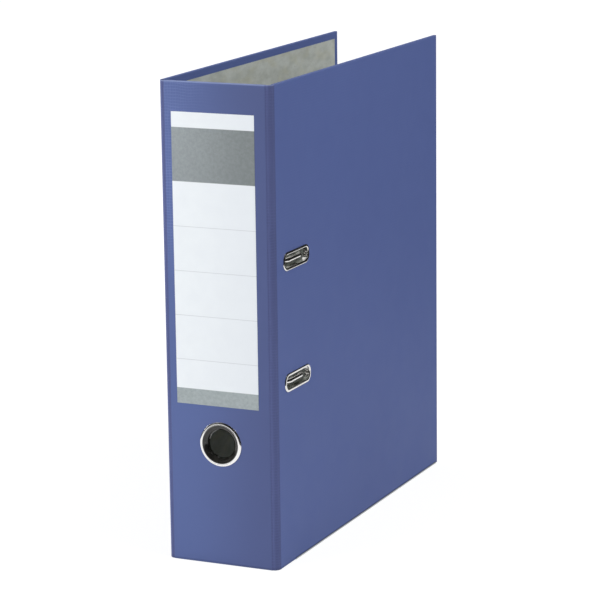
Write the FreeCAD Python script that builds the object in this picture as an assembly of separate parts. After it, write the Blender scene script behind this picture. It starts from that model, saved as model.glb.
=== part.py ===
"""Lever arch file for A4 paper, 80 mm spine: case of covered board with a lever arch mechanism.

Frame: +Z up, the spine faces -Y, the front cover is at +X and the rear cover, which carries
the mechanism, at -X. The origin is at the centre of the bounding box, at its bottom.
Every length is in millimetres.
"""

import FreeCAD, Part
import os
from math import radians, sin, tan

V = FreeCAD.Vector

# ---- Case ----
case_height = 318.0
case_width = 80.0
case_depth = 281.0
board_t = 2.0
wrap_t = 0.25
lining_t = 0.25
fold_width = 4.6
fold_strip_t = 0.5
fold_gap = 0.1
turn_in = 5.0
fore_turn_in = 5.0
edge_round = 0.4

# ---- Steel guards on the bottom edges of the covers ----
guard_t = 0.3
guard_lip = 1.3
guard_from_spine = 28.0
guard_from_fore_edge = 3.5

# ---- Label on the spine ----
label_width = 58.5
label_above_ring = 10.4
label_t = 0.12
label_top_margin = 19.5
label_shift = -1.5

# ---- Finger ring in the spine ----
ring_height = 81.6
ring_bore_d = 18.5
ring_crest_d = 26.8
ring_flange_d = 30.0
ring_lip = 0.9
ring_throat = 1.8
ring_wall = 0.5
ring_hole_gap = 1.3
ring_backing_t = 0.5
ring_fit = 0.05

# ---- Slots in the front cover, each lined with a steel eyelet ----
slot_pitch = 80.0
slot_length = 35.8
slot_height = 8.4
slot_corner = 3.6
eyelet_wall = 0.5
eyelet_flange = 1.5
eyelet_lip = 0.8
eyelet_clinch_t = 0.4
eyelet_clinch = 1.2
eyelet_fit = 0.05

# ---- Mechanism: base plate ----
mech_height = 162.0
plate_t = 1.0
plate_near = 4.0
plate_far = 59.0
plate_length = 102.0
plate_corner = 7.0
lug_t = 1.0
lug_positions = (-46.0, 4.0, 34.0, 45.0)

# ---- Mechanism: posts and arches, one pair for each punched hole ----
post_from_spine = 49.0
post_d = 5.0
post_bore_d = 3.4
post_top = 48.0
post_foot_d = 8.0
post_foot_t = 1.0
seat_slope = 24.0
seat_gap = 0.17
shaft_from_spine = 19.0
shaft_height = 5.0
shaft_d = 4.2
shaft_end = 1.5
running_fit = 0.08
arch_rod_d = 3.8
arch_bend = 8.0

# ---- Mechanism: crank in the rocker shaft, roller and lever ----
crank_throw = 8.0
crank_centre = 22.0
crank_span = 14.0
roller_length = 7.0
roller_gap = 0.15
roller_arm = 10.0
roller_rise = 1.3
roller_pin_d = 2.8
lever_near = 4.2
lever_width = 8.8
lever_tip_width = 6.0
lever_sheet = 0.9
lever_length = 78.0
lever_taper_from = 50.0
lever_wall_h = 8.0
lever_tip_h = 3.4
lever_tip_rise = 1.0
lever_heel = 3.6
pivot_from_centre = 32.0
pivot_height = 9.0
pivot_pin_d = 3.0
pivot_lug_r = 2.9
pivot_lug_inset = 1.3
web_above_pivot = 3.4
pin_head_t = 0.6
pin_head_extra = 1.0
side_play = 0.1

# ---- Mechanism: compressor bar and rivets ----
bar_width = 13.0
bar_sheet = 1.0
bar_flange = 2.6
bar_length = 97.0
bar_rest = 3.2
bar_fit = 0.3
rivet_d = 4.0
rivet_head_d = 7.5
rivet_head_t = 0.9
rivet_near_inset = 7.0
rivet_near_spread = 42.0
rivet_far_inset = 4.0
rivet_far_spread = 22.0

# ---- Derived sizes ----
half_w = case_width / 2
cover_t = wrap_t + board_t + lining_t
inner_x = half_w - cover_t
floor_z = guard_t
slot_centre = (shaft_from_spine + post_from_spine) / 2
arch_top = 2 * inner_x + cover_t - arch_rod_d / 2
label_top = case_height - label_top_margin
label_bottom = ring_height + ring_flange_d / 2 + label_above_ring
ring_tube_r = ring_bore_d / 2 + ring_wall
rivet_lip = eyelet_lip
origin = V(0, (case_depth - ring_lip) / 2, 0)


def block(x0, x1, y0, y1, z0, z1):
    return Part.makeBox(x1 - x0, y1 - y0, z1 - z0, V(x0, y0, z0))


def at(u, v, w):
    """Point in the mechanism: u above the rear lining, v from the spine, w up from its centre."""
    return V(-inner_x + u, v, mech_height + w)


def rod(start, end, diameter):
    axis = end - start
    return Part.makeCylinder(diameter / 2, axis.Length, start, axis)


def fuse_all(shapes):
    return shapes[0].fuse(shapes[1:]).removeSplitter()


def oblong(length, height, corner, x0, x1, z):
    """Prism along X with a rounded rectangle outline, centred on the slot."""
    y0 = slot_centre - length / 2
    y1 = slot_centre + length / 2
    prism = block(x0, x1, y0, y1, z - height / 2, z + height / 2)
    sides = [e for e in prism.Edges if abs(e.tangentAt(e.FirstParameter).x) > 0.9]
    return prism.makeFillet(corner, sides)


def slot_levels():
    return {
        "upper": mech_height + slot_pitch / 2,
        "lower": mech_height - slot_pitch / 2,
    }


def cover_outline():
    """Full thickness of a cover, with its top, bottom and fore edges rounded."""
    body = block(inner_x, half_w, fold_width, case_depth, floor_z, case_height)
    edges = [
        e
        for e in body.Edges
        if e.BoundBox.YMax > fold_width + 1 and e.BoundBox.XLength < 0.01
    ]
    return body.makeFillet(edge_round, edges)


def cover_window(grow):
    """Space of the lining: the inner face of a cover inside the turned-in edges."""
    return block(
        inner_x - grow,
        inner_x + lining_t,
        fold_width,
        case_depth - fore_turn_in,
        floor_z + turn_in,
        case_height - turn_in,
    )


def cover_board():
    return block(
        inner_x + lining_t,
        half_w - wrap_t,
        fold_width,
        case_depth - wrap_t,
        floor_z + wrap_t,
        case_height - wrap_t,
    )


def cover_wrap():
    return cover_outline().cut(cover_board()).cut(cover_window(1.0))


def edge_guard():
    """Steel channel pressed over the bottom edge of a cover."""
    y0 = guard_from_spine
    y1 = case_depth - guard_from_fore_edge
    outer = block(inner_x - guard_t, half_w + guard_t, y0, y1, 0, guard_lip)
    lower = [e for e in outer.Edges if e.BoundBox.ZMax < 0.01 and e.BoundBox.YLength > 1]
    outer = outer.makeFillet(guard_t * 0.9, lower)
    return outer.cut(block(inner_x, half_w, y0 - 1, y1 + 1, floor_z, guard_lip + 1))


def slot_cuts():
    """Holes through the front cover that the eyelets fill."""
    extra = 2 * (eyelet_wall + eyelet_fit)
    return [
        oblong(
            slot_length + extra,
            slot_height + extra,
            slot_corner + extra / 2,
            inner_x - 1,
            half_w + 1,
            z,
        )
        for z in slot_levels().values()
    ]


def eyelet(z):
    """Pressed steel oblong eyelet with a rolled lip outside and a clinched edge inside."""
    wall = 2 * eyelet_wall
    lip = wall + 2 * eyelet_flange
    clinch = wall + 2 * eyelet_clinch
    flange = oblong(
        slot_length + lip,
        slot_height + lip,
        slot_corner + lip / 2,
        half_w,
        half_w + eyelet_lip,
        z,
    )
    rim = [e for e in flange.Edges if e.BoundBox.XMin > half_w + eyelet_lip - 0.01]
    flange = flange.makeFillet(eyelet_lip * 0.9, rim)
    sleeve = oblong(
        slot_length + wall,
        slot_height + wall,
        slot_corner + eyelet_wall,
        inner_x - eyelet_clinch_t,
        half_w + eyelet_lip / 2,
        z,
    )
    back = oblong(
        slot_length + clinch,
        slot_height + clinch,
        slot_corner + clinch / 2,
        inner_x - eyelet_clinch_t,
        inner_x,
        z,
    )
    hole = oblong(
        slot_length, slot_height, slot_corner, inner_x - 1, half_w + eyelet_lip + 1, z
    )
    ring = fuse_all([flange, sleeve, back]).cut(hole)
    mouth = [
        e
        for e in ring.Edges
        if e.BoundBox.XMin > half_w + eyelet_lip - 0.01
        and e.distToShape(hole)[0] < 0.01
    ]
    return ring.makeFillet(eyelet_lip * 0.8, mouth)


def spine_panel(y0, y1, z_inset):
    x = half_w - fold_width
    return block(-x, x, y0, y1, floor_z + z_inset, case_height - z_inset)


def ring_cut(y0, y1):
    radius = ring_tube_r + ring_hole_gap
    return Part.makeCylinder(radius, y1 - y0, V(0, y0, ring_height), V(0, 1, 0))


def spine_board():
    return spine_panel(wrap_t, wrap_t + board_t, wrap_t).cut(ring_cut(-1, cover_t + 1))


def spine_wrap():
    outer = spine_panel(0, cover_t, 0)
    inner = spine_panel(wrap_t, wrap_t + board_t, wrap_t)
    window = spine_panel(cover_t - lining_t, cover_t + 1, turn_in)
    return outer.cut(inner).cut(window).cut(ring_cut(-1, cover_t + 1))


def spine_lining():
    return spine_panel(cover_t - lining_t, cover_t, turn_in).cut(ring_cut(0, cover_t + 1))


def spine_label():
    x0 = label_shift - label_width / 2
    return block(x0, x0 + label_width, -label_t, 0, label_bottom, label_top)


def ring_solid(edges):
    """Solid of revolution about the ring's axis."""
    face = Part.Face(Part.Wire([e.toShape() for e in edges]))
    solid = face.revolve(V(0, 0, 0), V(0, 1, 0), 360)
    solid.translate(V(0, 0, ring_height))
    return solid


def finger_ring():
    """Drawn steel ring: a rounded lip on the spine that funnels into a tube through it."""
    bore = ring_bore_d / 2
    crest = ring_crest_d / 2
    flange = ring_flange_d / 2
    end = cover_t + ring_backing_t
    slope = sin(radians(45))
    points = [
        V(flange, 0, 0),
        V(ring_tube_r + ring_hole_gap - ring_fit, 0, 0),
        V(ring_tube_r, ring_throat + ring_wall, 0),
        V(ring_tube_r, end, 0),
        V(bore, end, 0),
        V(bore, ring_throat, 0),
    ]
    top = V(crest, -ring_lip, 0)
    inside = V(
        crest - (crest - bore) * slope, ring_throat - (ring_throat + ring_lip) * slope, 0
    )
    outside = V(crest + (flange - crest) * slope, -ring_lip * slope, 0)
    edges = [Part.LineSegment(a, b) for a, b in zip(points, points[1:])]
    edges += [Part.Arc(points[-1], inside, top), Part.Arc(top, outside, points[0])]
    return ring_solid(edges)


def finger_ring_backing():
    """Washer inside the spine that the ring's tube is clinched into."""
    bore = ring_tube_r + ring_fit
    flange = ring_flange_d / 2
    back = cover_t + ring_backing_t
    slope = ring_backing_t / 2
    points = [
        V(flange, cover_t, 0),
        V(bore, cover_t, 0),
        V(bore, back, 0),
        V(flange - slope, back, 0),
        V(flange, back - slope, 0),
    ]
    return ring_solid([Part.LineSegment(a, b) for a, b in zip(points, points[1:] + points[:1])])


def fold_strip():
    """Flexible strip of covering between the spine and a cover, without board."""
    centre = V(half_w - fold_width, fold_width, floor_z)
    height = case_height - floor_z
    outer = Part.makeCylinder(fold_width, height, centre)
    inner = Part.makeCylinder(fold_width - fold_strip_t, height, centre)
    corner = block(centre.x, half_w, 0, fold_width - fold_gap, floor_z, case_height)
    return outer.cut(inner).common(corner)


def rivet_places():
    near = plate_near + rivet_near_inset
    far = plate_far - rivet_far_inset
    return [
        (near, -rivet_near_spread),
        (near, rivet_near_spread),
        (far, -rivet_far_spread),
        (far, rivet_far_spread),
    ]


def rivet_cuts(grow):
    return [
        rod(at(-cover_t - 1, v, w), at(plate_t + 1, v, w), rivet_d + grow)
        for v, w in rivet_places()
    ]


def base_rivets():
    """Four rivets that hold the base plate on the rear cover."""
    shapes = []
    for v, w in rivet_places():
        shank = rod(at(-cover_t - rivet_lip / 2, v, w), at(plate_t + rivet_head_t / 2, v, w), rivet_d)
        heads = []
        for face, out, height in ((-cover_t, -1, rivet_lip), (plate_t, 1, rivet_head_t)):
            head = rod(at(face, v, w), at(face + out * height, v, w), rivet_head_d)
            rim = [
                e
                for e in head.Edges
                if e.BoundBox.XLength < 0.01 and abs(e.BoundBox.XMin - at(face, v, w).x) > 0.01
            ]
            heads.append(head.makeChamfer(height * 0.7, rim))
        shapes.append(fuse_all([shank] + heads))
    return Part.makeCompound(shapes)


def lug_plate_z(w):
    """Lug across the rocker shaft, with its bearing hole still closed."""
    centre = at(shaft_height, shaft_from_spine, w - lug_t / 2)
    radius = shaft_height - plate_t
    foot = block(
        at(0, 0, 0).x + plate_t / 2,
        centre.x,
        centre.y - radius,
        centre.y + radius,
        centre.z,
        centre.z + lug_t,
    )
    return foot.fuse(Part.makeCylinder(radius, lug_t, centre))


def pivot_lug(v):
    """Lug beside the lever, with its pin hole still closed."""
    centre = at(pivot_height, v, pivot_from_centre)
    foot = block(
        at(0, 0, 0).x + plate_t / 2,
        centre.x,
        v,
        v + lug_t,
        centre.z - pivot_lug_r - 1,
        centre.z + pivot_lug_r,
    )
    return foot.fuse(Part.makeCylinder(pivot_lug_r, lug_t, centre, V(0, 1, 0)))


def base_plate():
    """Pressed steel plate with lugs bent up for the rocker shaft and the lever pin."""
    length = plate_length / 2
    corner_a = at(0, plate_near, -length)
    corner_b = at(plate_t, plate_far, length)
    plate = block(corner_a.x, corner_b.x, corner_a.y, corner_b.y, corner_a.z, corner_b.z)
    sides = [e for e in plate.Edges if e.BoundBox.XLength > plate_t * 0.9]
    sides = [e for e in sides if e.BoundBox.YLength < 0.01 and e.BoundBox.ZLength < 0.01]
    plate = plate.makeFillet(plate_corner, sides)
    near_lug = lever_near + lever_sheet + pivot_lug_inset / 2
    far_lug = lever_near + lever_width - lever_sheet - pivot_lug_inset / 2 - lug_t
    lugs = [lug_plate_z(w) for w in lug_positions] + [pivot_lug(near_lug), pivot_lug(far_lug)]
    plate = fuse_all([plate] + lugs)
    shaft_hole = rod(
        at(shaft_height, shaft_from_spine, -length - 1),
        at(shaft_height, shaft_from_spine, length + 1),
        shaft_d + 2 * running_fit,
    )
    pin_hole = rod(
        at(pivot_height, plate_near, pivot_from_centre),
        at(pivot_height, plate_near + lever_width, pivot_from_centre),
        pivot_pin_d,
    )
    return plate.cut([shaft_hole, pin_hole] + rivet_cuts(0))


def post(w):
    """Tube that carries the punched sheets, with a dished mouth for the tip of its arch."""
    tube = rod(at(plate_t, post_from_spine, w), at(post_top, post_from_spine, w), post_d)
    foot = rod(
        at(plate_t, post_from_spine, w),
        at(plate_t + post_foot_t, post_from_spine, w),
        post_foot_d,
    )
    bore = rod(
        at(plate_t + 2 * post_foot_t, post_from_spine, w),
        at(post_top + 1, post_from_spine, w),
        post_bore_d,
    )
    depth = post_d / 2 * tan(radians(seat_slope))
    dish = Part.makeCone(
        0, post_d / 2, depth, at(post_top - depth, post_from_spine, w), V(1, 0, 0)
    )
    return fuse_all([tube, foot]).cut([bore, dish])


def arch_path(w):
    """Centre line of an arch: up from the shaft, over, and down to its post."""
    v0 = shaft_from_spine
    v1 = post_from_spine
    bend = arch_top - arch_bend
    corner = arch_bend * (1 - sin(radians(45)))
    end = arch_end()
    points = [
        at(shaft_height, v0, w),
        at(bend, v0, w),
        at(arch_top - corner, v0 + corner, w),
        at(arch_top, v0 + arch_bend, w),
        at(arch_top, v1 - arch_bend, w),
        at(arch_top - corner, v1 - corner, w),
        at(bend, v1, w),
        at(end, v1, w),
    ]
    edges = [
        Part.LineSegment(points[0], points[1]),
        Part.Arc(points[1], points[2], points[3]),
        Part.LineSegment(points[3], points[4]),
        Part.Arc(points[4], points[5], points[6]),
        Part.LineSegment(points[6], points[7]),
    ]
    return Part.Wire([e.toShape() for e in edges])


def arch_end():
    """Height where the rod ends and its cone begins, a gap above the dish."""
    return post_top - (post_d - arch_rod_d) / 2 * tan(radians(seat_slope)) + seat_gap


def arch(w):
    """Bent wire of one ring, seated on the rocker shaft and pointed at its free end."""
    path = arch_path(w)
    section = Part.Wire(
        Part.makeCircle(arch_rod_d / 2, at(shaft_height, shaft_from_spine, w), V(1, 0, 0))
    )
    wire = path.makePipeShell([section], True, False)
    depth = arch_rod_d / 2 * tan(radians(seat_slope)) * 0.9
    tip = Part.makeCone(
        arch_rod_d / 2,
        arch_rod_d / 2 * 0.1,
        depth,
        at(arch_end(), post_from_spine, w),
        V(-1, 0, 0),
    )
    return fuse_all([wire, tip]).cut(rocker_shaft_core())


def rocker_shaft_core():
    """Straight part of the rocker shaft, as long as the shaft."""
    return rod(
        at(shaft_height, shaft_from_spine, lug_positions[0] - shaft_end),
        at(shaft_height, shaft_from_spine, lug_positions[-1] + shaft_end),
        shaft_d,
    )


def rocker_shaft():
    """Shaft in the lugs with one crank bent into it under the lever's roller."""
    w0 = crank_centre - crank_span / 2
    w1 = crank_centre + crank_span / 2
    v0 = shaft_from_spine
    v1 = shaft_from_spine + crank_throw
    u = shaft_height
    corners = [at(u, v0, w0), at(u, v1, w0), at(u, v1, w1), at(u, v0, w1)]
    first = at(u, v0, lug_positions[0] - shaft_end)
    last = at(u, v0, lug_positions[-1] + shaft_end)
    stops = [first] + corners + [last]
    runs = [rod(a, b, shaft_d) for a, b in zip(stops, stops[1:])]
    bends = [Part.makeSphere(shaft_d / 2, c) for c in corners]
    return fuse_all(runs + bends)


def lever_side_profile():
    """Side outline of the lever: high at the pivot, low and turned up at the tip."""
    top = pivot_height + web_above_pivot
    tip = pivot_from_centre - lever_length
    taper = pivot_from_centre - lever_taper_from
    heel = pivot_from_centre + lever_heel
    v = lever_near
    corners = [
        at(top + lever_sheet, v, heel),
        at(top + lever_sheet, v, taper),
        at(top + lever_sheet + lever_tip_rise, v, tip),
        at(top + lever_sheet + lever_tip_rise - lever_tip_h, v, tip),
        at(top + lever_sheet - lever_tip_h, v, taper),
        at(top + lever_sheet - lever_wall_h, v, pivot_from_centre - 2 * roller_arm),
        at(top + lever_sheet - lever_wall_h, v, heel),
    ]
    face = Part.Face(Part.makePolygon(corners + corners[:1]))
    return face.extrude(V(0, lever_width, 0))


def lever_plan():
    """Plan of the lever: parallel sides that narrow to a rounded tip."""
    tip = pivot_from_centre - lever_length
    taper = pivot_from_centre - lever_taper_from
    heel = pivot_from_centre + lever_heel + 1
    near = lever_near
    far = lever_near + lever_width
    tip_far = lever_near + lever_tip_width
    round_r = lever_tip_width / 2
    nose = at(0, near + round_r, tip)
    a = at(0, near, heel)
    b = at(0, near, tip + round_r)
    c = at(0, tip_far, tip + round_r)
    d = at(0, far, taper)
    e = at(0, far, heel)
    edges = [
        Part.LineSegment(a, b),
        Part.Arc(b, nose, c),
        Part.LineSegment(c, d),
        Part.LineSegment(d, e),
        Part.LineSegment(e, a),
    ]
    wire = Part.Wire([g.toShape() for g in edges])
    return wire


def lever_solid(inset, drop):
    """Lever envelope, shrunk by the sheet thickness at its sides and lowered by drop."""
    wire = lever_plan()
    if inset:
        wire = wire.makeOffset2D(-inset)
    reach = 4 * (pivot_height + web_above_pivot)
    plan = Part.Face(wire).extrude(V(reach, 0, 0))
    side = lever_side_profile()
    side.translate(V(-drop, 0, 0))
    return plan.common(side)


def lever_arm():
    """Pressed channel lever, open below, with holes for its pivot pin and roller pin."""
    outer = lever_solid(0, 0)
    hollow = lever_solid(lever_sheet, lever_sheet)
    below = lever_solid(lever_sheet, lever_sheet + lever_tip_h)
    heel = block(
        at(0, 0, 0).x,
        at(pivot_height + web_above_pivot, 0, 0).x,
        lever_near + lever_sheet,
        lever_near + lever_width - lever_sheet,
        at(0, 0, pivot_from_centre - 2 * roller_arm).z,
        at(0, 0, pivot_from_centre + lever_heel + 1).z,
    )
    arm = outer.cut([hollow, below, heel])
    near = lever_near - 1
    far = lever_near + lever_width + 1
    pivot = rod(
        at(pivot_height, near, pivot_from_centre),
        at(pivot_height, far, pivot_from_centre),
        pivot_pin_d + 2 * running_fit,
    )
    roller_w = pivot_from_centre - roller_arm
    roller_u = pivot_height + roller_rise
    axle = rod(at(roller_u, near, roller_w), at(roller_u, far, roller_w), roller_pin_d)
    return arm.cut([pivot, axle])


def headed_pin(u, w, v0, v1, diameter):
    """Pin along Y with a head at each end, outside v0 and v1."""
    head_d = diameter + 2 * pin_head_extra
    shank = rod(at(u, v0 - pin_head_t, w), at(u, v1 + pin_head_t, w), diameter)
    near = rod(at(u, v0 - pin_head_t, w), at(u, v0, w), head_d)
    far = rod(at(u, v1, w), at(u, v1 + pin_head_t, w), head_d)
    return fuse_all([shank, near, far])


def lever_pivot_pin():
    return headed_pin(
        pivot_height,
        pivot_from_centre,
        lever_near - side_play,
        lever_near + lever_width + side_play,
        pivot_pin_d,
    )


def roller_span():
    """Start and end of the roller along Y, centred on the crank."""
    centre = shaft_from_spine + crank_throw
    return centre - roller_length / 2, centre + roller_length / 2


def roller_pin():
    """Pin riveted across the lever, with its long end under the roller."""
    roller_w = pivot_from_centre - roller_arm
    roller_u = pivot_height + roller_rise
    end = roller_span()[1] + side_play
    return headed_pin(roller_u, roller_w, lever_near, end, roller_pin_d)


def lever_roller():
    v0, v1 = roller_span()
    u = pivot_height + roller_rise
    w = pivot_from_centre - roller_arm
    radius = u - roller_gap - shaft_height - shaft_d / 2
    body = rod(at(u, v0, w), at(u, v1, w), 2 * radius)
    rims = [e for e in body.Edges if e.BoundBox.YLength < 0.01]
    body = body.makeChamfer(radius * 0.12, rims)
    hole = rod(at(u, v0 - 1, w), at(u, v1 + 1, w), roller_pin_d + 2 * running_fit)
    return body.cut(hole)


def compressor_bar():
    """Pressed channel that slides on both posts and holds the sheets down."""
    v0 = post_from_spine - bar_width / 2
    v1 = post_from_spine + bar_width / 2
    half = bar_length / 2
    low = at(bar_rest, v0, -half)
    high = at(bar_rest + bar_flange + bar_sheet, v1, half)
    outer = block(low.x, high.x, low.y, high.y, low.z, high.z)
    ends = [e for e in outer.Edges if e.BoundBox.XLength > bar_sheet]
    ends = [e for e in ends if e.BoundBox.YLength < 0.01 and e.BoundBox.ZLength < 0.01]
    outer = outer.makeFillet(bar_width * 0.35, ends)
    inner = block(
        low.x - 1,
        low.x + bar_flange,
        low.y + bar_sheet,
        high.y - bar_sheet,
        low.z - 1,
        high.z + 1,
    )
    holes = [
        rod(at(0, post_from_spine, w), at(post_top, post_from_spine, w), post_d + 2 * bar_fit)
        for w in (slot_pitch / 2, -slot_pitch / 2)
    ]
    return outer.cut([inner] + holes)


def mirrored(shape):
    return shape.mirror(V(0, 0, 0), V(1, 0, 0))


def build():
    levels = slot_levels()
    slots = slot_cuts()
    half = slot_pitch / 2
    return {
        "rear_board": mirrored(cover_board()).cut(rivet_cuts(0)),
        "rear_wrap": mirrored(cover_wrap()).cut(rivet_cuts(0)),
        "rear_lining": mirrored(cover_window(0)).cut(rivet_cuts(0)),
        "rear_edge_guard": mirrored(edge_guard()),
        "base_plate": base_plate(),
        "base_rivets": base_rivets(),
        "upper_post": post(half),
        "lower_post": post(-half),
        "lever_pivot_pin": lever_pivot_pin(),
        "spine_board": spine_board(),
        "spine_wrap": spine_wrap(),
        "spine_lining": spine_lining(),
        "spine_label": spine_label(),
        "finger_ring": finger_ring(),
        "finger_ring_backing": finger_ring_backing(),
        "front_fold_strip": fold_strip(),
        "rear_fold_strip": mirrored(fold_strip()),
        "front_board": cover_board().cut(slots),
        "front_wrap": cover_wrap().cut(slots),
        "front_lining": cover_window(0).cut(slots),
        "front_edge_guard": edge_guard(),
        "upper_eyelet": eyelet(levels["upper"]),
        "lower_eyelet": eyelet(levels["lower"]),
        "rocker_shaft": rocker_shaft(),
        "upper_arch": arch(half),
        "lower_arch": arch(-half),
        "lever_arm": lever_arm(),
        "roller_pin": roller_pin(),
        "lever_roller": lever_roller(),
        "compressor_bar": compressor_bar(),
    }


os.makedirs("parts", exist_ok=True)
for name, shape in build().items():
    shape.translate(-origin)
    shape.exportStep(f"parts/{name}.step")
    print(name, "valid" if shape.isValid() else "INVALID", round(shape.Volume, 2))
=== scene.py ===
"""Studio picture of a lever arch file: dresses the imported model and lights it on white."""

import math

import bmesh
import bpy
from mathutils import Matrix, Vector


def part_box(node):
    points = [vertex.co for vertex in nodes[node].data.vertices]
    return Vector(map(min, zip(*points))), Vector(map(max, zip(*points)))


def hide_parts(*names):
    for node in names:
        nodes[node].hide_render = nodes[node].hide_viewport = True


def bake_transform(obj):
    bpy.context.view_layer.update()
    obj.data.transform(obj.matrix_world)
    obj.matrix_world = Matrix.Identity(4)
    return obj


MM = 0.001

# ---- Camera: direction, roll, distance and lens ----
CAM_AZIMUTH = 24.52
CAM_ELEVATION = 12.34
CAM_ROLL = -0.75
CAM_DISTANCE = 1.8606
CAM_TARGET = Vector((-0.0059, -0.00005, 0.1486))
CAM_LENS = 161.48

# ---- Printed bands of the label, from its top edge down, in metres ----
LABEL_WHITE_TOP = 10.0 * MM
LABEL_GREY_TOP = 45.0 * MM
LABEL_GREY_BOTTOM = 10.4 * MM
LABEL_ROW = 29.2 * MM

LINEN_PITCH = 1.9 * MM
GRAIN = (1, 0.42, 1)

# ---- Folds: outer skin from the spine to a cover ----
FOLD_THICKNESS = 0.5 * MM
FOLD_STEPS = 28
FOLD_ROWS = 60
CREASE_PLACES = (0.13, 0.87)
CREASE_WIDTH = 0.085
CREASE_DEPTH = 0.32 * MM
BELLY_DEPTH = 0.28 * MM

# ---- Floor and tent round the object ----
FLOOR_GLOW = 0.81
FLOOR_GLOW_FAR = 0.93
TENT_RADIUS = 1.4
SHEET_CENTRE = (-0.08, -0.08)
SHEET_RADIUS = 0.50
SHEET_TONGUE = 0.84
TENT_WINDOWS = (
    # direction of the middle, half angle in degrees
    ((-0.45, 0.25, 0.86), 26),
    ((-0.93, 0.15, 0.33), 18),
)
AMBIENT = 0.22

# ---- Lamps: name, place, point aimed at, side, watts ----
LAMPS = (
    ("key_left", (-1.3, -1.5, 1.0), (0, 0, 0.15), 1.2, 31.5),
    ("side_left", (-2.0, 0.3, 0.6), (0, 0, 0.15), 1.0, 16),
    ("fill_right", (2.2, -0.6, 1.2), (0, 0, 0.15), 1.4, 5),
    ("high_right", (1.5, -0.1, 2.2), (0, 0, 0.2), 0.9, 34.5),
)

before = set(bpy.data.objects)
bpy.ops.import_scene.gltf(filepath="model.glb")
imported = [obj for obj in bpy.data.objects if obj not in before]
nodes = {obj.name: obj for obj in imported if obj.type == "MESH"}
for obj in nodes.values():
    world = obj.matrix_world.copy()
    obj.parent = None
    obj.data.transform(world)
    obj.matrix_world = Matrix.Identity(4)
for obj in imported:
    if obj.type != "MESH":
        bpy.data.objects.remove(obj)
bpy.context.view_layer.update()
scene = bpy.context.scene


# ---------------------------------------------------------------- materials
def srgb(r, g, b):
    """Linear colour of an 8-bit sRGB colour."""
    out = []
    for c in (r, g, b):
        c = c / 255
        out.append(c / 12.92 if c <= 0.04045 else ((c + 0.055) / 1.055) ** 2.4)
    return (*out, 1.0)


class Nodes:
    """Small helper round one material's node tree."""

    def __init__(self, name):
        self.material = bpy.data.materials.new(name)
        self.material.use_nodes = True
        self.tree = self.material.node_tree
        self.bsdf = self.tree.nodes["Principled BSDF"]
        self.position = self.new("ShaderNodeTexCoord").outputs["Object"]

    def new(self, kind, **settings):
        node = self.tree.nodes.new(kind)
        for key, value in settings.items():
            setattr(node, key, value)
        return node

    def link(self, a, b):
        self.tree.links.new(a, b)

    def set(self, **values):
        for key, value in values.items():
            self.bsdf.inputs[key.replace("_", " ")].default_value = value

    def feed(self, socket, value):
        if hasattr(value, "is_linked"):
            self.link(value, socket)
        else:
            socket.default_value = value

    def math(self, operation, a, b=0.0):
        node = self.new("ShaderNodeMath", operation=operation)
        self.feed(node.inputs[0], a)
        self.feed(node.inputs[1], b)
        return node.outputs[0]

    def axis(self, name):
        if not hasattr(self, "axes"):
            self.axes = self.new("ShaderNodeSeparateXYZ")
            self.link(self.position, self.axes.inputs[0])
        return self.axes.outputs[name]

    def noise(self, scale, detail=2.0, stretch=(1, 1, 1), rough=0.5):
        place = self.new("ShaderNodeMapping")
        place.inputs["Scale"].default_value = stretch
        self.link(self.position, place.inputs["Vector"])
        node = self.new("ShaderNodeTexNoise")
        node.inputs["Scale"].default_value = scale
        node.inputs["Detail"].default_value = detail
        node.inputs["Roughness"].default_value = rough
        self.link(place.outputs[0], node.inputs["Vector"])
        return node.outputs["Fac"]

    def ramp(self, value, low, high, to_low=0.0, to_high=1.0):
        node = self.new("ShaderNodeMapRange", interpolation_type="SMOOTHSTEP")
        self.link(value, node.inputs["Value"])
        node.inputs["From Min"].default_value = low
        node.inputs["From Max"].default_value = high
        node.inputs["To Min"].default_value = to_low
        node.inputs["To Max"].default_value = to_high
        return node.outputs["Result"]

    def mix(self, amount, a, b):
        node = self.new("ShaderNodeMix", data_type="RGBA")
        self.feed(node.inputs["Factor"], amount)
        self.feed(node.inputs["A"], a)
        self.feed(node.inputs["B"], b)
        return node.outputs["Result"]

    def bump(self, height, strength, distance, normal=None):
        node = self.new("ShaderNodeBump")
        node.inputs["Strength"].default_value = strength
        node.inputs["Distance"].default_value = distance
        self.link(height, node.inputs["Height"])
        if normal is not None:
            self.link(normal, node.inputs["Normal"])
        return node.outputs[0]


def threads(m, axis, pitch, wander):
    """Rounded threads across one axis, with a slow wander so that they aren't ruled lines."""
    drift = m.math("MULTIPLY", m.noise(90, 2), wander)
    phase = m.math("ADD", m.math("DIVIDE", axis, pitch), drift)
    return m.math("SINE", m.math("MULTIPLY", phase, 2 * math.pi))


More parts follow.
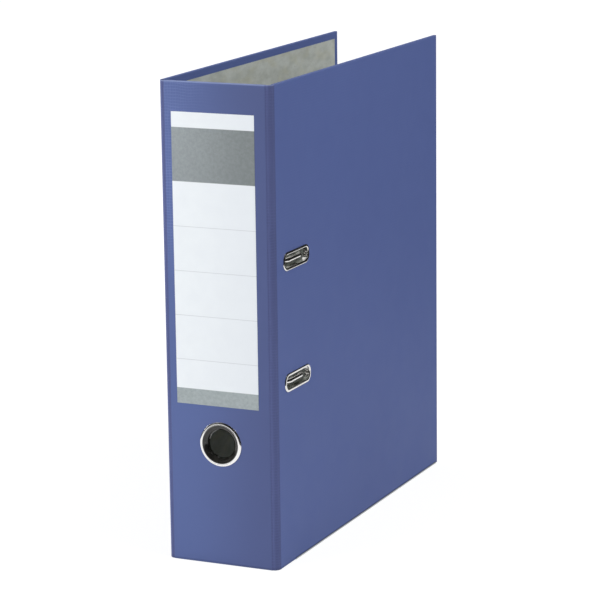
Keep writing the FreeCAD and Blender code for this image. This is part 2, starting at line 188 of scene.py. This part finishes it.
def covering_material(name, across, tint, emboss, rim_highlight, clouds=0.05):
    """Laminated covering with a linen emboss. across is the level axis of its faces."""
    m = Nodes(name)
    upright = m.ramp(threads(m, m.axis(across), LINEN_PITCH, 1.2), 0.1, 0.95)
    level = m.ramp(threads(m, m.axis("Z"), LINEN_PITCH, 1.2), 0.1, 0.95)
    slubs = m.noise(700, 3, (1, 1, 0.15))
    cross = m.math("MAXIMUM", m.math("MULTIPLY", upright, 0.75), level)
    height = m.math("ADD", m.math("MULTIPLY", cross, 0.6), m.math("MULTIPLY", slubs, 0.5))
    patch = m.ramp(m.noise(18, 3), 0.25, 0.75, 0.55, 1.0)
    # On the spine the emboss is kept to the upper left, where the light rakes across it; the
    # lighter thread tops below are painted highlight there.
    if across == "X":
        left = m.ramp(m.axis("X"), 0.02, -0.036, 0.4, 1.0)
        high = m.ramp(m.axis("Z"), 0.12, 0.30, 0.3, 1.0)
        patch = m.math("MULTIPLY", patch, m.math("MULTIPLY", left, high))
    height = m.math("MULTIPLY", height, patch)
    cloud = m.ramp(m.noise(8, 3), 0.3, 0.7)
    low = tuple(c * (1 - clouds) for c in tint[:3]) + (1.0,)
    high = tuple(c * (1 + clouds) for c in tint[:3]) + (1.0,)
    base = m.mix(cloud, low, high)
    # Painted shading: on the spine the blue darkens toward the right side, where less light falls.
    if across == "X":
        side = m.ramp(m.axis("X"), -0.036, 0.036)
        base = m.mix(m.math("MULTIPLY", side, 0.8), base, srgb(83, 92, 134))
    # Painted highlight: the raised linen threads are coloured a lighter blue, as where light
    # catches them; the linen pattern itself is real.
    thread_highlight = m.math("MULTIPLY", m.ramp(height, 0.25, 1.0), 0.34 * emboss)
    base = m.mix(thread_highlight, base, srgb(126, 141, 192))
    # Painted highlight: a light line along the top edge, where the rounded edge catches the light.
    rim = m.ramp(m.axis("Z"), 0.3170, 0.3179)
    base = m.mix(m.math("MULTIPLY", rim, rim_highlight), base, srgb(160, 174, 216))
    # Painted shade: the covering darkens just above the edge guard, in the shadow gap there.
    foot_shade = m.ramp(m.axis("Z"), 1.4 * MM, 2.2 * MM, 0.22, 0.0)
    base = m.mix(foot_shade, base, srgb(40, 46, 66))
    m.link(base, m.bsdf.inputs["Base Color"])
    m.link(m.ramp(m.noise(60, 4), 0.3, 0.7, 0.46, 0.51), m.bsdf.inputs["Roughness"])
    m.set(IOR=1.45, Specular_IOR_Level=0.07)
    fine = m.bump(height, 0.35 * emboss, 0.08 * MM)
    wave = m.noise(7, 2)
    m.link(m.bump(wave, 0.5 * clouds, 1.5 * MM, fine), m.bsdf.inputs["Normal"])
    return m.material


def lining_material():
    """Grey recycled paper: cloudy, with short fibres and specks."""
    m = Nodes("lining_paper")
    cloud = m.ramp(m.noise(150, 5, GRAIN, 0.62), 0.30, 0.70)
    base = m.mix(cloud, srgb(169, 173, 167), srgb(190, 195, 190))
    warm = m.ramp(m.noise(130, 4, GRAIN), 0.45, 0.68)
    base = m.mix(m.math("MULTIPLY", warm, 0.30), base, srgb(186, 183, 156))
    broad = m.ramp(m.noise(14, 2), 0.3, 0.7)
    base = m.mix(m.math("MULTIPLY", broad, 0.10), base, srgb(160, 163, 156))
    fibre = m.ramp(m.noise(420, 5, GRAIN, 0.72), 0.55, 0.75)
    base = m.mix(m.math("MULTIPLY", fibre, 0.34), base, srgb(142, 144, 135))
    speck = m.ramp(m.noise(420, 2), 0.70, 0.78)
    base = m.mix(m.math("MULTIPLY", speck, 0.5), base, srgb(112, 108, 98))
    m.link(base, m.bsdf.inputs["Base Color"])
    m.set(Roughness=0.86, IOR=1.4)
    m.link(m.bump(m.noise(900, 5, rough=0.7), 0.35, 0.05 * MM), m.bsdf.inputs["Normal"])
    return m.material


def board_material():
    m = Nodes("greyboard")
    layers = m.noise(500, 4, (6, 1, 1))
    base = m.mix(m.ramp(layers, 0.35, 0.65), srgb(128, 122, 110), srgb(156, 150, 138))
    m.link(base, m.bsdf.inputs["Base Color"])
    m.set(Roughness=0.92)
    m.link(m.bump(m.noise(1500, 4), 0.4, 0.06 * MM), m.bsdf.inputs["Normal"])
    return m.material


def label_material():
    """Paper label with two grey bands and thin ruled lines between them."""
    low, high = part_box("spine_label")
    m = Nodes("label_paper")
    down = m.math("SUBTRACT", high.z, m.axis("Z"))
    up = m.math("SUBTRACT", m.axis("Z"), low.z)
    edge = 0.12 * MM

    def after(value, start):
        return m.ramp(value, start - edge, start + edge)

    under_grey = m.math("SUBTRACT", 1.0, after(down, LABEL_GREY_TOP))
    top_band = m.math("MULTIPLY", after(down, LABEL_WHITE_TOP), under_grey)
    bottom_band = m.math("SUBTRACT", 1.0, after(up, LABEL_GREY_BOTTOM))
    row = m.math("MODULO", m.math("SUBTRACT", down, LABEL_GREY_TOP), LABEL_ROW)
    off = m.math("ABSOLUTE", m.math("SUBTRACT", row, LABEL_ROW * 0.5))
    line = m.ramp(off, LABEL_ROW * 0.5 - 0.28 * MM, LABEL_ROW * 0.5 - 0.10 * MM)
    below = after(down, LABEL_GREY_TOP + 2 * MM)
    inside = m.math("MULTIPLY", below, after(up, LABEL_GREY_BOTTOM + 2 * MM))
    line = m.math("MULTIPLY", m.math("MULTIPLY", line, inside), 0.42)
    across = m.ramp(m.axis("X"), low.x, high.x)
    # Painted shading: the white paper darkens slightly toward the right side, where less light
    # falls.
    paper = m.mix(across, srgb(237, 242, 246), srgb(230, 235, 240))
    cloud = m.ramp(m.noise(120, 4), 0.3, 0.7)
    paper = m.mix(m.math("MULTIPLY", cloud, 0.22), paper, srgb(226, 231, 237))
    paper = m.mix(line, paper, srgb(160, 166, 172))
    ink = m.ramp(m.noise(420, 5, rough=0.7), 0.32, 0.68)
    grey = m.mix(ink, srgb(144, 151, 154), srgb(155, 163, 166))
    grey_right = m.mix(ink, srgb(120, 127, 128), srgb(130, 137, 139))
    grey = m.mix(across, grey, grey_right)
    fade = m.ramp(down, LABEL_WHITE_TOP, LABEL_GREY_TOP)
    grey = m.mix(m.math("MULTIPLY", fade, 0.15), grey, srgb(118, 125, 127))
    pale = m.mix(ink, srgb(152, 161, 163), srgb(166, 175, 177))
    base = m.mix(top_band, paper, grey)
    base = m.mix(bottom_band, base, pale)
    m.link(base, m.bsdf.inputs["Base Color"])
    m.set(Roughness=0.62, IOR=1.45)
    m.link(m.bump(m.noise(1200, 4), 0.25, 0.04 * MM), m.bsdf.inputs["Normal"])
    return m.material


def metal_material(name, tint, rough, scratch, stretch=(1, 1, 1)):
    """Plated steel with faint scratches and a slightly uneven polish."""
    m = Nodes(name)
    polish = m.noise(180, 4, stretch)
    m.link(m.ramp(polish, 0.3, 0.7, rough * 0.75, rough * 1.35), m.bsdf.inputs["Roughness"])
    dull = m.ramp(m.noise(70, 3), 0.4, 0.75)
    dark = tuple(c * 0.86 for c in tint[:3]) + (1.0,)
    m.link(m.mix(dull, tint, dark), m.bsdf.inputs["Base Color"])
    m.set(Metallic=1.0)
    m.link(m.bump(m.noise(1400, 3, stretch), scratch, 0.02 * MM), m.bsdf.inputs["Normal"])
    return m.material


def guard_material():
    """Rolled zinc strip gripping the covering, its upper edge darkened by painted shadow for the
    gap there.
    """
    m = Nodes("guard_steel")
    streak = m.noise(260, 4, (1, 0.06, 1))
    m.link(m.ramp(streak, 0.3, 0.7, 0.26, 0.42), m.bsdf.inputs["Roughness"])
    base = m.mix(m.ramp(streak, 0.35, 0.65), (0.38, 0.40, 0.43, 1.0), (0.52, 0.54, 0.57, 1.0))
    # Painted shadow: the strip's top edge is darkened nearly to black, for the gap where it meets
    # the covering.
    lip_shadow = m.ramp(m.axis("Z"), 0.75 * MM, 1.1 * MM)
    base = m.mix(m.math("MULTIPLY", lip_shadow, 0.9), base, (0.03, 0.035, 0.045, 1.0))
    m.link(base, m.bsdf.inputs["Base Color"])
    m.set(Metallic=0.9)
    m.link(m.bump(streak, 0.2, 0.03 * MM), m.bsdf.inputs["Normal"])
    return m.material


def ring_material():
    """Bright rolled rim round a funnel coloured near-black and non-metallic."""
    low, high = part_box("finger_ring")
    centre = (low + high) / 2
    radius = (high.x - low.x) / 2
    m = Nodes("finger_ring_steel")
    dx = m.math("SUBTRACT", m.axis("X"), centre.x)
    dz = m.math("SUBTRACT", m.axis("Z"), centre.z)
    square = m.math("ADD", m.math("MULTIPLY", dx, dx), m.math("MULTIPLY", dz, dz))
    reach = m.math("SQRT", square)
    bright = m.ramp(reach, radius * 0.845, radius * 0.875)
    polish = m.ramp(m.noise(180, 4), 0.3, 0.7, 0.08, 0.14)
    m.link(polish, m.bsdf.inputs["Roughness"])
    # The funnel inside the rim is coloured near-black and non-metallic, with a faint mottle.
    inside_mottle = m.ramp(m.noise(260, 4), 0.35, 0.7)
    dark_inside = m.mix(inside_mottle, (0.010, 0.010, 0.009, 1), (0.022, 0.021, 0.019, 1))
    m.link(m.mix(bright, dark_inside, (0.82, 0.81, 0.80, 1.0)), m.bsdf.inputs["Base Color"])
    m.link(bright, m.bsdf.inputs["Metallic"])
    m.link(m.bump(m.noise(1400, 3), 0.06, 0.02 * MM), m.bsdf.inputs["Normal"])
    return m.material


def roller_material():
    m = Nodes("roller_plastic")
    base = m.mix(m.ramp(m.noise(300, 3), 0.3, 0.7), srgb(222, 220, 210), srgb(206, 204, 194))
    m.link(base, m.bsdf.inputs["Base Color"])
    m.set(Roughness=0.45)
    m.link(m.bump(m.noise(900, 3), 0.2, 0.03 * MM), m.bsdf.inputs["Normal"])
    return m.material


BLUE = srgb(95, 110, 160)
covering_side = covering_material("covering_side", "Y", srgb(87, 102, 155), 0.14, 0.10, 0.01)
covering_spine = covering_material("covering_spine", "X", BLUE, 2.0, 0.55)
lining = lining_material()
board = board_material()
chrome = metal_material("polished_nickel", (0.80, 0.79, 0.77, 1.0), 0.09, 0.06)
satin = metal_material("satin_zinc", (0.62, 0.63, 0.64, 1.0), 0.30, 0.25, (1, 1, 8))
guard_steel = guard_material()

MATERIALS = {
    "rear_wrap": covering_side,
    "front_wrap": covering_side,
    "spine_wrap": covering_spine,
    "rear_lining": lining,
    "front_lining": lining,
    "spine_lining": lining,
    "rear_board": board,
    "front_board": board,
    "spine_board": board,
    "spine_label": label_material(),
    "finger_ring": ring_material(),
    "upper_eyelet": chrome,
    "lower_eyelet": chrome,
    "upper_arch": chrome,
    "lower_arch": chrome,
    "rocker_shaft": chrome,
    "upper_post": chrome,
    "lower_post": chrome,
    "lever_arm": chrome,
    "front_edge_guard": guard_steel,
    "rear_edge_guard": guard_steel,
    "base_plate": satin,
    "base_rivets": satin,
    "lever_pivot_pin": satin,
    "roller_pin": satin,
    "compressor_bar": satin,
    "finger_ring_backing": satin,
    "lever_roller": roller_material(),
}


def dress_cad_nodes():
    for name, material in MATERIALS.items():
        mesh = nodes[name].data
        mesh.materials.clear()
        mesh.materials.append(material)
        mesh.shade_smooth()
        mesh.set_sharp_from_angle(angle=math.radians(32))


# ---------------------------------------------------------------- fold strips
def fold_skin(name, cad_node, side):
    """Flexible covering from the spine to a cover: rounded, with a pressed crease at each board."""
    low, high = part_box(cad_node)
    spine_low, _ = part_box("spine_wrap")
    _, cover_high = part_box("front_wrap")
    radius = cover_high.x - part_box("spine_wrap")[1].x
    centre_x = cover_high.x - radius
    centre_y = spine_low.y + radius
    outer, inner = [], []
    for i in range(FOLD_STEPS + 1):
        t = i / FOLD_STEPS
        angle = math.radians(90 * t)
        out = Vector((math.sin(angle), -math.cos(angle)))
        groove = sum(math.exp(-(((t - c) / CREASE_WIDTH) ** 2)) for c in CREASE_PLACES)
        belly = math.sin(math.pi * t) ** 2
        r = radius - CREASE_DEPTH * groove - BELLY_DEPTH * belly
        outer.append((centre_x + out.x * r, centre_y + out.y * r))
        inside = r - FOLD_THICKNESS
        inner.append((centre_x + out.x * inside, centre_y + out.y * inside))
    ring = outer + inner[::-1]
    bm = bmesh.new()
    layers = []
    for k in range(FOLD_ROWS + 1):
        z = low.z + (high.z - low.z) * k / FOLD_ROWS
        layers.append([bm.verts.new((side * x, y, z)) for x, y in ring])
    count = len(ring)
    for a, b in zip(layers, layers[1:]):
        for i in range(count):
            j = (i + 1) % count
            bm.faces.new((a[i], a[j], b[j], b[i]))
    bm.faces.new(layers[0][::-1])
    bm.faces.new(layers[-1])
    bmesh.ops.recalc_face_normals(bm, faces=bm.faces)
    mesh = bpy.data.meshes.new(name)
    bm.to_mesh(mesh)
    bm.free()
    mesh.shade_smooth()
    mesh.set_sharp_from_angle(angle=math.radians(40))
    skin = bpy.data.objects.new(name, mesh)
    scene.collection.objects.link(skin)
    mesh.materials.append(fold_covering)
    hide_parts(cad_node)
    z = (low.z + high.z) / 2
    if side > 0:
        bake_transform(skin)
    else:
        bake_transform(skin)
    return skin


# ---------------------------------------------------------------- studio
def stage_floor():
    """White floor and backdrop in one sweep. Near the object its shadow still shows."""
    bm = bmesh.new()
    profile = [(-3.0, 0.0), (2.2, 0.0)]
    for i in range(1, 13):
        angle = math.radians(90 * i / 12)
        profile.append((2.2 + 1.2 * math.sin(angle), 1.2 - 1.2 * math.cos(angle)))
    profile.append((3.4, 4.0))
    left = [bm.verts.new((-4.0, y, z)) for y, z in profile]
    right = [bm.verts.new((4.0, y, z)) for y, z in profile]
    for i in range(len(profile) - 1):
        bm.faces.new((left[i], right[i], right[i + 1], left[i + 1]))
    mesh = bpy.data.meshes.new("studio_floor")
    bm.to_mesh(mesh)
    bm.free()
    mesh.shade_smooth()
    floor = bpy.data.objects.new("studio_floor", mesh)
    scene.collection.objects.link(floor)
    m = Nodes("studio_white")
    m.tree.nodes.remove(m.bsdf)
    rays = m.new("ShaderNodeLightPath")
    seen = m.math("MAXIMUM", rays.outputs["Is Camera Ray"], rays.outputs["Is Transmission Ray"])
    seen = m.math("MAXIMUM", seen, rays.outputs["Is Glossy Ray"])
    diffuse = m.new("ShaderNodeBsdfDiffuse")
    m.link(m.mix(seen, (0.80, 0.80, 0.80, 1.0), (0.30, 0.30, 0.30, 1.0)), diffuse.inputs["Color"])
    glow = m.new("ShaderNodeEmission")
    x, y = m.axis("X"), m.axis("Y")
    square = m.math("ADD", m.math("MULTIPLY", x, x), m.math("MULTIPLY", y, y))
    away = m.math("SQRT", square)
    level = m.ramp(away, 0.35, 0.90, FLOOR_GLOW, FLOOR_GLOW_FAR)
    m.link(m.math("MULTIPLY", seen, level), glow.inputs["Strength"])
    both = m.new("ShaderNodeAddShader")
    m.link(diffuse.outputs[0], both.inputs[0])
    m.link(glow.outputs[0], both.inputs[1])
    m.link(both.outputs[0], m.tree.nodes["Material Output"].inputs["Surface"])
    mesh.materials.append(m.material)
    return floor


def on_white_sheet(x, y):
    """True where the floor under the tent is the white sheet and not the black skirt."""
    near = math.hypot(x - SHEET_CENTRE[0], y - SHEET_CENTRE[1]) < SHEET_RADIUS
    run = Vector((0.415, 0.910))
    offset = Vector((x - 0.04, y + 0.11))
    along = offset.dot(run)
    across = abs(offset.x * run.y - offset.y * run.x)
    return near or (0 < along < SHEET_TONGUE and across < 0.16)


def dark_tent():
    """Black tent that only reflections see, as a photographer builds round chrome.

    It hangs over the object with windows above and at the left, and a black skirt lies on the
    floor beyond the white sheet that the object stands on.
    """
    bm = bmesh.new()
    windows = [(Vector(w).normalized(), math.cos(math.radians(a))) for w, a in TENT_WINDOWS]
    rings = [(TENT_RADIUS * i / 40, 0.004) for i in range(1, 41)]
    for i in range(1, 24):
        angle = math.radians(90 * i / 24)
        rings.append((TENT_RADIUS * math.cos(angle), TENT_RADIUS * math.sin(angle)))
    columns = 96
    loops = []
    for radius, z in rings:
        loop = []
        for k in range(columns):
            turn = 2 * math.pi * k / columns
            loop.append(bm.verts.new((radius * math.cos(turn), radius * math.sin(turn), z)))
        loops.append(loop)
    for a, b in zip(loops, loops[1:]):
        for k in range(columns):
            j = (k + 1) % columns
            corners = (a[k], a[j], b[j], b[k])
            middle = sum((c.co for c in corners), Vector()) / 4
            if middle.z < 0.005:
                opened = on_white_sheet(middle.x, middle.y)
            else:
                toward = middle.normalized()
                opened = any(toward.dot(w) > reach for w, reach in windows)
            if not opened:
                bm.faces.new(corners)
    bmesh.ops.delete(bm, geom=[v for v in bm.verts if not v.link_faces], context="VERTS")
    mesh = bpy.data.meshes.new("dark_tent")
    bm.to_mesh(mesh)
    bm.free()
    tent = bpy.data.objects.new("dark_tent", mesh)
    scene.collection.objects.link(tent)
    m = Nodes("black_cloth")
    m.set(Base_Color=(0.012, 0.012, 0.012, 1.0), Roughness=0.9)
    mesh.materials.append(m.material)
    tent.visible_camera = False
    tent.visible_diffuse = False
    tent.visible_shadow = False
    tent.visible_transmission = False


def world_light():
    world = bpy.data.worlds.new("studio")
    world.use_nodes = True
    tree = world.node_tree
    background = tree.nodes["Background"]
    rays = tree.nodes.new("ShaderNodeLightPath")
    seen = None
    for kind in ("Is Transmission Ray", "Is Glossy Ray"):
        pick = tree.nodes.new("ShaderNodeMath")
        pick.operation = "MAXIMUM"
        tree.links.new(seen or rays.outputs["Is Camera Ray"], pick.inputs[0])
        tree.links.new(rays.outputs[kind], pick.inputs[1])
        seen = pick.outputs[0]
    strength = tree.nodes.new("ShaderNodeMapRange")
    strength.inputs["To Min"].default_value = AMBIENT
    strength.inputs["To Max"].default_value = 1.0
    tree.links.new(seen, strength.inputs["Value"])
    tree.links.new(strength.outputs[0], background.inputs["Strength"])
    background.inputs["Color"].default_value = (1.0, 1.0, 1.0, 1.0)
    scene.world = world


def area_lamp(name, place, aim, size, watts):
    light = bpy.data.lights.new(name, "AREA")
    light.shape = "RECTANGLE"
    light.size = light.size_y = size
    light.energy = watts
    lamp = bpy.data.objects.new(name, light)
    lamp.location = place
    lamp.rotation_mode = "QUATERNION"
    lamp.rotation_quaternion = (Vector(aim) - Vector(place)).to_track_quat("-Z", "Y")
    scene.collection.objects.link(lamp)
    return lamp


def camera():
    az, el, roll = (math.radians(a) for a in (CAM_AZIMUTH, CAM_ELEVATION, CAM_ROLL))
    back = Vector((math.sin(az) * math.cos(el), -math.cos(az) * math.cos(el), math.sin(el)))
    right = Vector((math.cos(az), math.sin(az), 0.0))
    up = back.cross(right)
    right, up = (
        right * math.cos(roll) + up * math.sin(roll),
        up * math.cos(roll) - right * math.sin(roll),
    )
    data = bpy.data.cameras.new("camera")
    data.lens = CAM_LENS
    data.sensor_width = 36.0
    data.clip_start = 0.1
    data.clip_end = 20.0
    cam = bpy.data.objects.new("camera", data)
    turn = Matrix((right, up, back)).transposed().to_4x4()
    cam.matrix_world = Matrix.Translation(CAM_TARGET + back * CAM_DISTANCE) @ turn
    scene.collection.objects.link(cam)
    scene.camera = cam


# Painted shade: the fold uses a darker, greyer copy of the covers' blue, for the shade across the
# curved fold.
fold_covering = covering_material("covering_fold", "Y", srgb(84, 92, 136), 0.3, 0.5)
dress_cad_nodes()
fold_skin("front_fold_skin", "front_fold_strip", 1)
fold_skin("rear_fold_skin", "rear_fold_strip", -1)
stage_floor()
world_light()
dark_tent()
for lamp in LAMPS:
    area_lamp(*lamp)
camera()
scene.view_settings.view_transform = "Standard"
